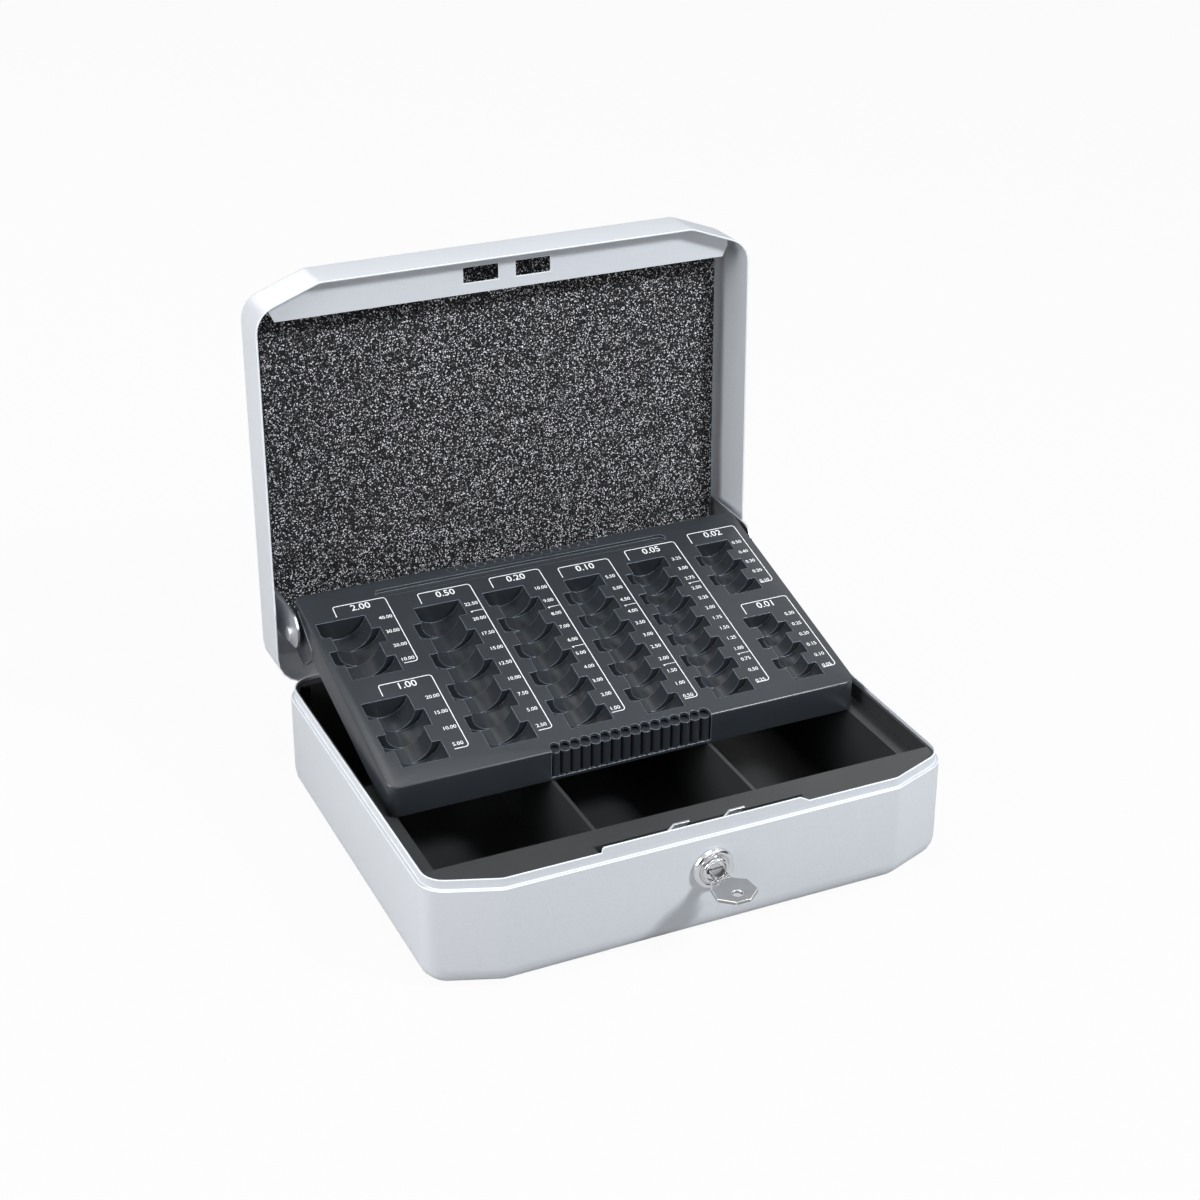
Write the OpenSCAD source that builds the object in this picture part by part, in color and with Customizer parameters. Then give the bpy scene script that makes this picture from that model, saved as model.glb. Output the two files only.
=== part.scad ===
// Cash box with a lift-up coin tray: pressed steel base and lid, moulded tray and note insert,
// cam lock with a sliding claw bolt, and a folding carry handle.
// Millimetres. X is the width, -Y the front, +Z up. The origin is the middle of the underside.
// The box is drawn standing open, with the tray lifted and the key in the lock.

/* [Box] */
// Outside width of the base and the lid
box_width = 283; // [278:1:290]
// Outside depth of the base and the lid
box_depth = 225; // [222:1:230]
// Thickness of the steel sheet
sheet = 0.9; // [0.7:0.1:1]
// Length of each slanted front corner along the width
chamfer_width = 35; // [28:1:42]
// Length of each slanted front corner along the depth
chamfer_depth = 13.2; // [10:0.1:16]
// Corner radius where the slant meets the front
front_radius = 10; // [6:1:14]
// Corner radius where the slant meets the side
side_radius = 15; // [10:1:18]
// Radius of the two rear corners
rear_radius = 16; // [10:1:20]

/* [Base] */
// Radius of the bottom edge of the base
bottom_round = 12; // [8:0.5:14]
// Height of the shoulder that the closed lid comes down to
shoulder_height = 55.6; // [55:0.1:57]
// Height of the set-in rim above the shoulder
rim_height = 5; // [4:0.1:5.5]
// How far the rim is set in from the walls
rim_inset = 1.9; // [1.5:0.1:2.2]
// Extra height of the middle of the front rim
crown_height = 2.9; // [1.5:0.1:3.2]
// Half width of the raised middle of the front rim
crown_half = 56; // [46:1:62]
// Rise of the pressed recess under the front edge
recess_rise = 2; // [1:0.1:2.4]
// Half width of the pressed recess under the front edge
recess_half = 50; // [40:1:58]

/* [Lid] */
// Height of the closed lid's top over the floor
lid_top = 87; // [86:0.5:92]
// Radius of the lid's top edge
lid_round = 6; // [4:0.5:7]
// Angle the lid stands open at
open_angle = 91; // [90:0.5:95]
// Distance of the hinge axis behind the rear wall
hinge_back = 1.8; // [1.8:0.1:2.2]
// Distance of the hinge axis under the shoulder
hinge_drop = 5.8; // [5.6:0.1:6.2]
// Thickness of the foam liner
foam_thickness = 6.1; // [4:0.1:8]
// Half width of the foam liner
foam_half = 133; // [128:0.5:133.5]
// Thickness of the locking strip in the lid's mouth
strip_thickness = 1; // [0.8:0.1:1.2]
// Depth of the locking strip from front to back
strip_depth = 20; // [18:0.5:22]

/* [Note insert] */
// Wall thickness of the insert
insert_wall = 1.2; // [1:0.1:1.4]
// Clearance between the insert and the rim
insert_gap = 0.3; // [0.2:0.05:0.4]
// Height of the insert's top edge
insert_top = 58.6; // [58:0.1:59]
// Half of the pitch between the two dividers
divider_half = 44.2; // [40:0.2:48]
// Height of the dividers and of the tray ledges
ledge_height = 50; // [48:0.1:50.2]
// Half width of the compartments
compartment_half = 127.5; // [124:0.5:128]

/* [Coin tray] */
// Half width of the tray
tray_half = 131.5; // [131:0.1:132]
// Length of the tray's top from rear to front
tray_length = 149.5; // [147.5:0.5:150.5]
// Height of the tray's walls
tray_height = 16.5; // [16:0.1:17.2]
// Wall thickness of the tray
tray_wall = 1.6; // [1.2:0.1:2]
// Slope of the lifted tray
tray_tilt = 14.7; // [14.5:0.1:18]
// Sideways step between neighbouring coin groups
stagger = 4.7; // [3:0.1:5]
// Room around a coin in its pocket
coin_room = 0.8; // [0.5:0.05:0.9]
// Diameter of the tray's pivot pins
pivot_diameter = 5; // [4:0.2:5.4]

/* [Lock] */
// Distance of the lock from the middle of the box
lock_x = 2; // [0:0.5:3]
// Height of the lock's axis
lock_height = 38; // [37:0.5:39]
// Diameter of the lock's front plate
rosette_diameter = 22; // [20:0.5:23]
// How far the lock's front plate stands out
rosette_depth = 4.5; // [3.5:0.1:5]
// Diameter of the lock body
lock_diameter = 17; // [16:0.2:17.4]
// Diameter of the turning plug
plug_diameter = 10; // [9.4:0.2:10.6]
// Distance of the cam's pin from the lock's axis
cam_throw = 6; // [5.8:0.1:6]
// Width of the key's bow
bow_width = 22; // [18:1:26]

/* [Hinges and handle] */
// Distance of each hinge from the middle
hinge_x = 85; // [70:1:95]
// Length of each hinge
hinge_length = 45; // [36:1:55]
// Diameter of the hinge pins
hinge_pin_diameter = 2; // [1.6:0.1:2.2]
// Distance between the handle's two ends
handle_span = 88; // [76:1:100]
// Reach of the handle from its hinge line
handle_reach = 32; // [28:1:40]
// Diameter of the handle's bar
handle_bar = 5; // [4:0.5:6]
// Diameter of the handle's grip
grip_diameter = 9; // [7:0.5:10]

/* [Hidden] */
$fn = 48;
// Thickness of a single layer inside a rounded solid
layer = 0.2;
// Clearance between parts that slide or turn past each other
slide = 0.3;
// Radial clearance of the turning fits
running = 0.05;

// Unit normal of the slanted front corner
slant = norm([chamfer_width, chamfer_depth]);
slant_x = chamfer_depth / slant;
slant_y = chamfer_width / slant;
rear_y = box_depth / 2;
front_y = -box_depth / 2;
wall_y = front_y + sheet;
rim_y = front_y + rim_inset;
rim_top = shoulder_height + rim_height;
crown_top = rim_top + crown_height;
crown_ramp = 5;

hinge_y = rear_y + hinge_back;
hinge_z = shoulder_height - hinge_drop;
lid_bottom = shoulder_height + slide;
lid_inside = lid_top - sheet;
strip_height = crown_top + slide;
strip_top = strip_height + strip_thickness;
// Slots of the locking strip, each from five to twenty-five millimetres off the middle
slot_near = 5;
slot_far = 25;
slot_front = wall_y + 5.4;
slot_rear = slot_front + 8.5;
foam_front = front_y + 6.5;
foam_rear = rear_y - 24.5;
foam_bottom = lid_inside - foam_thickness;

// Tray pivot in the open box, and the tray's outline measured from it
pivot_y = hinge_y - 0.1;
pivot_z = hinge_z + 36.2;
tray_rear = 8.4;
tray_top = 17.9;
tray_bottom = tray_top - tray_height;
tray_front = tray_rear - tray_length;
tray_flare = 4;
lug_inner = tray_half - 2.5;
lug_outer = tray_half + 0.5;
boss_radius = pivot_diameter / 2 + 2.5;
ear_sheet = 1.2;
ear_inner = 134.6;
ear_outer = ear_inner + ear_sheet;
ear_round = 10.1;
ear_y = pivot_y - 5;
ear_z = pivot_z + 5.2;
// Rear end of the ear, where it meets the lid's top
ear_end = hinge_y + lid_inside - hinge_z - ear_sheet;
flange_reach = 8;
flange_front = 64;
// Rear edge of the side lugs, measured from the pivot
lug_rear = -0.1;
group_coins = 5;
// Extra length of a group, and of the last group of a column
group_room = 0.3;
last_room = 0.8;
// Groove behind the columns: its two ends, its middle line and its size
groove_left = -89.3;
groove_right = 83.9;
groove_y = -2.3;
groove_radius = 2.8;
groove_depth = 2;
// Ribbed grips at the front and rear edges
grip_half = 45;
rib_count = 16;
rib_pitch = 2 * grip_half / rib_count;
rib_radius = rib_pitch / 2 - 0.05;
rib_drop = 1;
grip_depth = 7;
grip_foot = 1.6;

// Coin columns: middle, start from the rear edge, groups of coins, coin diameter, coin thickness
columns = [
    [-111.5, 24.8, 4, 25.75, 2.2],
    [-110, 89, 4, 23.25, 2.33],
    [-63, 27.5, 9, 24.25, 2.38],
    [-19.5, 26.5, 10, 22.25, 2.14],
    [21.5, 29.3, 11, 19.75, 1.93],
    [62, 26.3, 13, 21.25, 1.67],
    [105, 23, 5, 18.75, 1.67],
    [106, 86.8, 6, 16.25, 1.67]
];

// Insert: outer face, floor, rear wall and the curved front of the compartments
insert_inset = rim_inset + sheet + insert_gap;
insert_half = box_width / 2 - insert_inset;
insert_rear = rear_y - insert_inset;
rear_wall_y = insert_rear - 5.4;
floor_bottom = sheet;
floor_top = floor_bottom + 1.6;
// Slope between the floor and the rear wall, clear of the base's rounded edge
cove_depth = 5.2;
cove_rise = 1.8;
scoop_foot = front_y + 52.5;
scoop_depth = 28;
scoop_y = scoop_foot - scoop_depth;
scoop_height = insert_top - insert_wall - floor_top;
flange_bottom = insert_top - 1.6;
claw_gap_y = front_y + 9.3;
divider_front = scoop_y + 12;
ledge_end = 8;
low_ledge = 28;
skirt_bottom = 6.5;

// Lock: positions along the depth, from the wall towards the back
body_end = front_y + 16.5;
nut_end = wall_y + 4;
face_y = front_y + 15.1;
cam_y = body_end + 0.2;
cam_thickness = 1.5;
cam_end = cam_y + cam_thickness;
bolt_y = cam_end + 0.4;
bolt_thickness = 1.5;
bolt_end = bolt_y + bolt_thickness;
pin_radius = 1.5;
stud_radius = 2;
stud_x = 26;
claw_y = front_y + 6.8;
claw_thickness = 1.4;
claw_width = 6;
claw_span = claw_width * sqrt(2);
claw_top = strip_height - 1.1;
claw_knee = claw_top - 5.9;
bolt_low = lock_height - 11;
bolt_high = lock_height + 8;
plug_flange = plug_diameter / 2 + 0.4;
plug_recess = 1.6;
tail_radius = 3;
bow_start = front_y - 12.8;

// Hinges and handle
leaf_sheet = 0.8;
knuckle_radius = hinge_back - 0.1;
knuckle_count = 5;
knuckle_pitch = hinge_length / knuckle_count;
knuckle_play = 0.2;
leaf_low = hinge_z - 20;
leaf_high = lid_bottom + 12;
handle_y = -15;
handle_z = lid_top + grip_diameter / 2 + 0.8;
bracket_sheet = 1.5;
bracket_x = handle_span / 2 + handle_bar / 2 + 0.5;
bracket_length = 14;
rivet_x = bracket_x + bracket_length - 5;
rivet_y = 4.5;
rivet_radius = 1.6;

function unit(v) = v / norm(v);

// Points of one rounded corner at q, coming from p and going on to s, anticlockwise
function corner_arc(p, q, s, r, n) =
    let (a = unit(q - p), b = unit(s - q))
    let (turn = acos(a * b), start = atan2(-a[0], a[1]))
    let (centre = q - a * r * tan(turn / 2) + r * [-a[1], a[0]])
    [for (i = [0 : n]) centre + r * [cos(start + turn * i / n), sin(start + turn * i / n)]];

// Polygon with every corner rounded to its own radius
function rounded(points, radii, n) = [
    for (i = [0 : len(points) - 1])
        each corner_arc(points[(i + len(points) - 1) % len(points)], points[i],
                        points[(i + 1) % len(points)], radii[i], n)
];

// Plan of the box, drawn in by an even margin
function plan(inset) =
    let (w = box_width / 2 - inset, d = box_depth / 2 - inset)
    let (side_y = front_y + chamfer_depth + inset * (1 - slant_x) / slant_y)
    let (end_x = box_width / 2 - chamfer_width - inset * (1 - slant_y) / slant_x)
    rounded([[end_x, -d], [w, side_y], [w, d], [-w, d], [-w, side_y], [-end_x, -d]],
            [for (r = [front_radius, side_radius, rear_radius, rear_radius, side_radius, front_radius])
                max(r - inset, 2)], 5);

module slab(inset, bottom, height) {
    translate([0, 0, bottom]) linear_extrude(height) polygon(plan(inset));
}

// Solid base with a rounded bottom edge
module pan(inset, top) {
    r = bottom_round - inset;
    hull() {
        for (a = [0 : 18 : 72]) slab(inset + r * (1 - sin(a)), inset + r * (1 - cos(a)), layer);
        slab(inset, bottom_round, top - bottom_round);
    }
}

// Solid lid with a rounded top edge, as it sits when shut
module cap(inset, bottom) {
    r = lid_round - inset;
    hull() {
        slab(inset, bottom, lid_top - lid_round - bottom);
        for (a = [18 : 18 : 90]) slab(inset + r * (1 - cos(a)), lid_top - lid_round + r * sin(a) - layer, layer);
    }
}

// Turns a piece drawn on the shut lid to where the open lid stands
module on_open_lid() {
    translate([0, hinge_y, hinge_z]) rotate([-open_angle, 0, 0]) translate([0, -hinge_y, -hinge_z]) children();
}

// Places a piece drawn in the tray's own axes on the lifted tray
module on_tray() {
    translate([0, pivot_y, pivot_z]) rotate([tray_tilt, 0, 0]) children();
}

module box_between(low, high) {
    translate(low) cube(high - low);
}

// Bar along X from x0 to x1, seen as a profile of Y and Z points
module profile_x(x0, x1, points) {
    translate([x0, 0, 0]) rotate([90, 0, 90]) linear_extrude(x1 - x0) polygon(points);
}

// Plate across the box from y0 to y1, seen as a profile of X and Z points
module profile_y(y0, y1, points) {
    translate([0, y1, 0]) rotate([90, 0, 0]) linear_extrude(y1 - y0) polygon(points);
}

module rod_x(x0, x1, y, z, radius) {
    translate([x0, y, z]) rotate([0, 90, 0]) cylinder(h = x1 - x0, r = radius);
}

module rod_y(y0, y1, x, z, radius) {
    translate([x, y1, z]) rotate([90, 0, 0]) cylinder(h = y1 - y0, r = radius);
}

module base_shell() {
    color([0.80, 0.81, 0.84])
    difference() {
        union() {
            difference() {
                union() {
                    pan(0, shoulder_height);
                    slab(rim_inset, shoulder_height - sheet, rim_height + sheet);
                    profile_y(rim_y, rim_y + sheet, [
                        [-crown_half, rim_top - 1],
                        [crown_half, rim_top - 1],
                        [crown_half, rim_top],
                        [crown_half - crown_ramp, crown_top],
                        [1.2 - crown_half, crown_top],
                        [0.3 - crown_half, crown_top - 0.9],
                        [-crown_half, crown_top - 2.2]
                    ]);
                }
                pan(sheet, shoulder_height - sheet);
                slab(rim_inset + sheet, shoulder_height - 2 * sheet, rim_height + crown_height + 4 * sheet);
            }
            // Raised floor over the recess
            profile_y(wall_y + 4, front_y + 30 + sheet, [
                [-recess_half - 3, sheet / 2],
                [recess_half + 3, sheet / 2],
                [recess_half + 3, sheet],
                [recess_half, sheet + recess_rise],
                [-recess_half, sheet + recess_rise],
                [-recess_half - 3, sheet]
            ]);
        }
        // Recess pressed into the underside behind the front edge
        profile_y(front_y - 1, front_y + 30, [
            [-recess_half - 4, -1],
            [recess_half + 4, -1],
            [recess_half + 3, 0],
            [recess_half, recess_rise],
            [-recess_half, recess_rise],
            [-recess_half - 3, 0]
        ]);
        rod_y(front_y - 1, wall_y + 1, lock_x, lock_height, lock_diameter / 2 + running);
    }
}

// One strip of the insert's curved compartment front
function scoop(depth, n) = [
    for (i = [0 : n]) [scoop_foot - (scoop_depth + depth) * sin(90 * i / n),
                       floor_top - depth + (scoop_height + depth) * (1 - cos(90 * i / n))]
];

module insert_side(side) {
    inner = compartment_half;
    outer = insert_half - insert_wall / 2;
    mirror([side < 0 ? 1 : 0, 0, 0]) {
        // Inner wall, high beside the tray ledge and low behind it
        profile_x(inner, inner + insert_wall, [
            [scoop_y, ledge_height],
            [scoop_y - insert_wall, insert_top - insert_wall],
            [scoop_y - insert_wall, ledge_height - 8],
            [scoop_foot, floor_bottom],
            [rear_wall_y - cove_depth, floor_bottom],
            [rear_wall_y + insert_wall, floor_bottom + cove_rise],
            [rear_wall_y + insert_wall, low_ledge],
            [ledge_end, low_ledge],
            [ledge_end, ledge_height]
        ]);
        box_between([inner, scoop_y - insert_wall, ledge_height - insert_wall], [outer, ledge_end, ledge_height]);
        box_between([inner, ledge_end - insert_wall, low_ledge - insert_wall], [outer, ledge_end, ledge_height]);
        box_between([inner, ledge_end - insert_wall, low_ledge - insert_wall],
                    [outer, rear_wall_y + insert_wall, low_ledge]);
        // Small wall that closes the ledge under the front flange
        box_between([inner, scoop_y - insert_wall, ledge_height - insert_wall],
                    [outer, scoop_y, insert_top]);
    }
}

module note_insert() {
    floor_half = compartment_half + insert_wall;
    color([0.10, 0.10, 0.11])
    intersection() {
        slab(insert_inset, floor_bottom, lid_top);
        union() {
            // Skirt that follows the rim
            difference() {
                slab(insert_inset, skirt_bottom, insert_top - skirt_bottom);
                slab(insert_inset + insert_wall, skirt_bottom - 1, insert_top);
                box_between([-crown_half, front_y, skirt_bottom - 1], [crown_half, claw_gap_y, insert_top + 1]);
                box_between([-floor_half, rear_wall_y, skirt_bottom - 1],
                            [floor_half, rear_y, insert_top - insert_wall]);
            }
            // Flange over the lock space
            difference() {
                slab(insert_inset, flange_bottom, insert_top - flange_bottom);
                box_between([-box_width, scoop_y, 0], [box_width, box_depth, lid_top]);
                box_between([-crown_half, front_y, 0], [crown_half, claw_gap_y, lid_top]);
            }
            box_between([-crown_half, claw_gap_y, insert_top - insert_wall],
                        [crown_half, claw_gap_y + insert_wall, insert_top + 1.4]);
            // Floor, rear wall and the edge that rests inside the rim
            profile_x(-floor_half, floor_half, [
                [scoop_foot, floor_bottom],
                [rear_wall_y - cove_depth, floor_bottom],
                [rear_wall_y + insert_wall, floor_bottom + cove_rise],
                [rear_wall_y + insert_wall, insert_top],
                [rear_wall_y, insert_top],
                [rear_wall_y, floor_top + cove_rise],
                [rear_wall_y - cove_depth - 1, floor_top],
                [scoop_foot, floor_top]
            ]);
            box_between([-insert_half, rear_wall_y, insert_top - insert_wall], [insert_half, insert_rear, insert_top]);
            // Curved compartment front
            profile_x(-floor_half, floor_half, concat(scoop(0, 9), [for (i = [9 : -1 : 0]) scoop(1.6, 9)[i]]));
            // Dividers
            for (x = [-divider_half, divider_half]) {
                profile_x(x - 1, x + 1, [
                    [scoop_foot - 4, floor_top - 0.8],
                    [rear_wall_y - cove_depth, floor_top - 0.8],
                    [rear_wall_y + 0.6, floor_top + 1],
                    [rear_wall_y + 0.6, ledge_height],
                    [divider_front, ledge_height],
                    [divider_front, ledge_height - 26],
                    [scoop_foot - 12, floor_top + 4]
                ]);
            }
            insert_side(-1);
            insert_side(1);
        }
    }
}

module lid_shell() {
    color([0.80, 0.81, 0.84])
    on_open_lid()
    difference() {
        cap(0, lid_bottom);
        cap(sheet, lid_bottom - 1);
        for (x = [-1, 1]) {
            for (y = [-1, 1]) {
                translate([x * rivet_x, handle_y + y * rivet_y, lid_inside - 1])
                    cylinder(h = 3, r = rivet_radius);
            }
        }
    }
}

module lid_foam() {
    color([0.08, 0.08, 0.09])
    on_open_lid()
    difference() {
        intersection() {
            box_between([-foam_half, foam_front, foam_bottom], [foam_half, foam_rear, lid_inside]);
            slab(lid_round, foam_bottom - 1, foam_thickness + 2);
        }
        for (side = [-1, 1]) {
            translate([side * (ear_inner - flange_reach / 2), 0, 0])
                box_between([-flange_reach / 2 - 0.2, flange_front - 0.2, lid_inside - ear_sheet],
                            [flange_reach / 2 + 0.2, foam_rear + 1, lid_inside + 1]);
        }
    }
}

module lid_strip() {
    strip_rear = wall_y + strip_depth;
    color([0.84, 0.84, 0.86])
    on_open_lid()
    union() {
        difference() {
            intersection() {
                slab(sheet, strip_height, strip_thickness);
                translate([0, 0, strip_height - 1]) linear_extrude(strip_thickness + 2)
                    polygon([[-132, front_y - 1], [132, front_y - 1], [132, strip_rear - 6],
                             [129, strip_rear], [-129, strip_rear], [-132, strip_rear - 6]]);
            }
            for (x = [-slot_far, slot_near]) {
                box_between([x, slot_front, strip_height - 1],
                            [x + slot_far - slot_near, slot_rear, strip_top + 1]);
            }
        }
        // Upturned edge welded to the inside of the lid's front
        box_between([-90, wall_y, strip_height], [90, wall_y + strip_thickness, strip_top + 8]);
    }
}

// Plan of the tray at a height over its pivot
function tray_plan(inset, z) =
    let (w = tray_half - inset, y0 = tray_front - tray_flare * (tray_top - z) / tray_height + inset)
    rounded([[w, y0], [w, tray_rear - inset], [-w, tray_rear - inset], [-w, y0]],
            [for (r = [6, 4, 4, 6]) max(r - inset, 1)], 4);

module tray_layer(inset, z) {
    translate([0, 0, z]) linear_extrude(layer) polygon(tray_plan(inset, z));
}

// Radius of a column's pockets
function pocket(column) = column[3] / 2 + coin_room;

// Length of one group of coins
function group_length(column) = group_coins * column[4] + group_room;

// Pockets of one column, stepped to the right and to the left in turn, the front one to the right
module coin_column(column) {
    run = group_length(column);
    last = column[2] - 1;
    for (i = [0 : last]) {
        side = (last - i) % 2 == 0 ? 1 : -1;
        y = tray_rear - column[1] - i * run;
        rod_y(y - run - (i == last ? last_room : 0.1), y, column[0] + side * stagger / 2, tray_top, pocket(column));
    }
}

module column_block(column) {
    r = pocket(column);
    half = r + stagger / 2 + tray_wall;
    y = tray_rear - column[1];
    box_between([column[0] - half, y - group_length(column) * column[2] - last_room - tray_wall, tray_top - r - 1.2],
                [column[0] + half, y + tray_wall, tray_top - 1]);
}

// Places a grip on the sloping front wall, with its ribs standing on the tray's lower edge
module on_front_slope() {
    translate([0, tray_front - tray_flare, tray_bottom]) rotate([-atan(tray_flare / tray_height), 0, 0]) children();
}

module on_rear_wall() {
    translate([0, tray_rear, tray_bottom]) mirror([0, 1, 0]) children();
}

// Row of upright ribs whose outer sides are flush with the wall
module rib_row(bottom, top) {
    for (i = [0 : rib_count - 1]) {
        translate([rib_pitch * (i + 0.5) - grip_half, rib_radius, bottom])
            cylinder(h = top - bottom, r = rib_radius, $fn = 20);
    }
}

// Solid wall behind a grip
module grip_backing() {
    box_between([-grip_half - 2, 0.5, grip_foot + 0.7], [grip_half + 2, grip_depth, tray_height - 1]);
}

// Space cleared for a grip: a straight strip with a scalloped step in the tray's top
module grip_space() {
    box_between([-grip_half, -1, grip_foot], [grip_half, rib_radius, tray_height + 2]);
    rib_row(tray_height - rib_drop, tray_height + 2);
}

module coin_tray() {
    color([0.24, 0.27, 0.31])
    on_tray()
    difference() {
        union() {
            difference() {
                union() {
                    difference() {
                        hull() {
                            tray_layer(0, tray_bottom);
                            for (a = [0 : 30 : 90]) tray_layer(1 - cos(a), tray_top - 1 + sin(a) - layer);
                        }
                        hull() {
                            tray_layer(tray_wall, tray_bottom - 1);
                            tray_layer(tray_wall, tray_top - tray_wall - layer);
                        }
                    }
                    // Solid backing of the two grips
                    on_front_slope() grip_backing();
                    on_rear_wall() grip_backing();
                }
                on_front_slope() grip_space();
                on_rear_wall() grip_space();
            }
            on_front_slope() rib_row(grip_foot, tray_height - rib_drop);
            on_rear_wall() rib_row(grip_foot, tray_height - rib_drop);
            box_between([groove_left - 2, groove_y - groove_radius - 2, tray_top - groove_depth - tray_wall],
                        [groove_right + 2, groove_y + groove_radius + 2, tray_top - 1]);
            for (column = columns) column_block(column);
            // Lugs and bosses that turn on the pivot pins
            for (side = [0, 1]) {
                mirror([side, 0, 0]) {
                    profile_x(lug_inner, lug_outer, [
                        [lug_rear, tray_top - 3],
                        [-0.7, -11.4],
                        [-13.3, -12.5],
                        [-24.6, tray_bottom - 0.1],
                        [-24.6, tray_bottom + 6]
                    ]);
                    rod_x(lug_inner, ear_inner - slide, 0, 0, boss_radius);
                }
            }
        }
        for (column = columns) coin_column(column);
        translate([0, 0, tray_top - groove_depth]) linear_extrude(groove_depth + 1)
            polygon(stadium([groove_left + groove_radius, groove_y], [groove_right - groove_radius, groove_y],
                            groove_radius));
        rod_x(-ear_outer, ear_outer, 0, 0, pivot_diameter / 2 + running);
    }
}

// Side plate that carries the tray's pivot, drawn on the left and mirrored for the right
module tray_ear(side) {
    color([0.72, 0.73, 0.75])
    mirror([side > 0 ? 1 : 0, 0, 0])
    difference() {
        union() {
            profile_x(-ear_outer, -ear_inner, concat(
                [for (a = [90 : 16 : 250]) [ear_y + ear_round * cos(a), ear_z + ear_round * sin(a)]],
                [[ear_y + 27, ear_z - 14.2], [ear_end + 0.6, ear_z - 17], [ear_end + 0.6, ear_z + ear_round]]
            ));
            on_open_lid()
                box_between([-ear_outer, flange_front, lid_inside - ear_sheet],
                            [flange_reach - ear_outer, flange_front + 24, lid_inside]);
        }
        rod_x(-ear_outer - 1, -ear_inner + 1, pivot_y, pivot_z, pivot_diameter / 2);
    }
}

module tray_ear_left() {
    tray_ear(-1);
}

module tray_ear_right() {
    tray_ear(1);
}

module tray_pivots() {
    color([0.75, 0.75, 0.77])
    for (side = [0, 1]) {
        mirror([side, 0, 0]) {
            rod_x(lug_inner + 0.3, ear_outer + 0.1, pivot_y, pivot_z, pivot_diameter / 2);
            rod_x(ear_outer, ear_outer + 1.2, pivot_y, pivot_z, pivot_diameter / 2 + 1.6);
        }
    }
}

module hinge_knuckles(first) {
    for (i = [first : 2 : knuckle_count - 1]) {
        x = i * knuckle_pitch - hinge_length / 2;
        rod_x(x + knuckle_play, x + knuckle_pitch - knuckle_play, hinge_y, hinge_z, knuckle_radius);
    }
}

module hinge_base_leaf(side) {
    gap = knuckle_radius + 0.4;
    color([0.76, 0.77, 0.80])
    translate([side * hinge_x, 0, 0])
    difference() {
        union() {
            box_between([-hinge_length / 2, rear_y, leaf_low], [hinge_length / 2, rear_y + leaf_sheet, hinge_z - gap]);
            for (i = [0 : 2 : knuckle_count - 1]) {
                x = i * knuckle_pitch - hinge_length / 2;
                box_between([x + knuckle_play, rear_y, hinge_z - gap - 1],
                            [x + knuckle_pitch - knuckle_play, rear_y + leaf_sheet, hinge_z]);
            }
            hinge_knuckles(0);
        }
        rod_x(-hinge_length, hinge_length, hinge_y, hinge_z, hinge_pin_diameter / 2 + running);
    }
}

module hinge_base_leaf_left() {
    hinge_base_leaf(-1);
}

module hinge_base_leaf_right() {
    hinge_base_leaf(1);
}

module hinge_lid_leaf(side) {
    color([0.76, 0.77, 0.80])
    on_open_lid()
    translate([side * hinge_x, 0, 0])
    difference() {
        union() {
            box_between([-hinge_length / 2, rear_y, lid_bottom + 0.3],
                        [hinge_length / 2, rear_y + leaf_sheet, leaf_high]);
            for (i = [1 : 2 : knuckle_count - 1]) {
                x = i * knuckle_pitch - hinge_length / 2;
                box_between([x + knuckle_play, rear_y + 0.5, hinge_z],
                            [x + knuckle_pitch - knuckle_play, rear_y + 0.5 + leaf_sheet, lid_bottom + 1.5]);
            }
            hinge_knuckles(1);
        }
        rod_x(-hinge_length, hinge_length, hinge_y, hinge_z, hinge_pin_diameter / 2 + running);
    }
}

module hinge_lid_leaf_left() {
    hinge_lid_leaf(-1);
}

module hinge_lid_leaf_right() {
    hinge_lid_leaf(1);
}

module hinge_pins() {
    color([0.70, 0.70, 0.72])
    for (side = [-1, 1]) {
        translate([side * hinge_x, 0, 0]) {
            rod_x(-hinge_length / 2, hinge_length / 2, hinge_y, hinge_z, hinge_pin_diameter / 2);
            rod_x(-hinge_length / 2 - 0.8, -hinge_length / 2, hinge_y, hinge_z, knuckle_radius);
        }
    }
}

// Draws a turned lock piece: the profile's height points out of the front wall
module on_lock() {
    translate([lock_x, front_y, lock_height]) rotate([90, 0, 0]) children();
}

module lock_body() {
    r = rosette_diameter / 2;
    boss = plug_flange + 1.5;
    body = front_y - body_end;
    color([0.82, 0.82, 0.83])
    on_lock()
    difference() {
        rotate_extrude() polygon([
            [0, body],
            [lock_diameter / 2, body],
            [lock_diameter / 2, 0],
            [r, 0],
            [r, 1.2],
            [r - 0.5, 2.2],
            [r - 1.4, 2.8],
            [r - 2.4, 2.8],
            [boss + 0.5, 2],
            [boss, 2],
            [boss, rosette_depth - 0.7],
            [boss - 0.6, rosette_depth],
            [plug_flange + 0.4, rosette_depth],
            [plug_flange, rosette_depth - 0.4],
            [0, rosette_depth - 0.4]
        ]);
        translate([0, 0, body - 1]) cylinder(h = 40, r = plug_diameter / 2 + running);
        translate([0, 0, 1.5]) cylinder(h = 10, r = plug_flange + running);
    }
}

module lock_nut() {
    color([0.70, 0.70, 0.72])
    translate([lock_x, 0, 0])
    difference() {
        translate([0, nut_end, lock_height]) rotate([90, 0, 0]) cylinder(h = nut_end - wall_y, r = 12.5, $fn = 6);
        rod_y(wall_y - 1, nut_end + 1, 0, lock_height, lock_diameter / 2 + running);
    }
}

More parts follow.
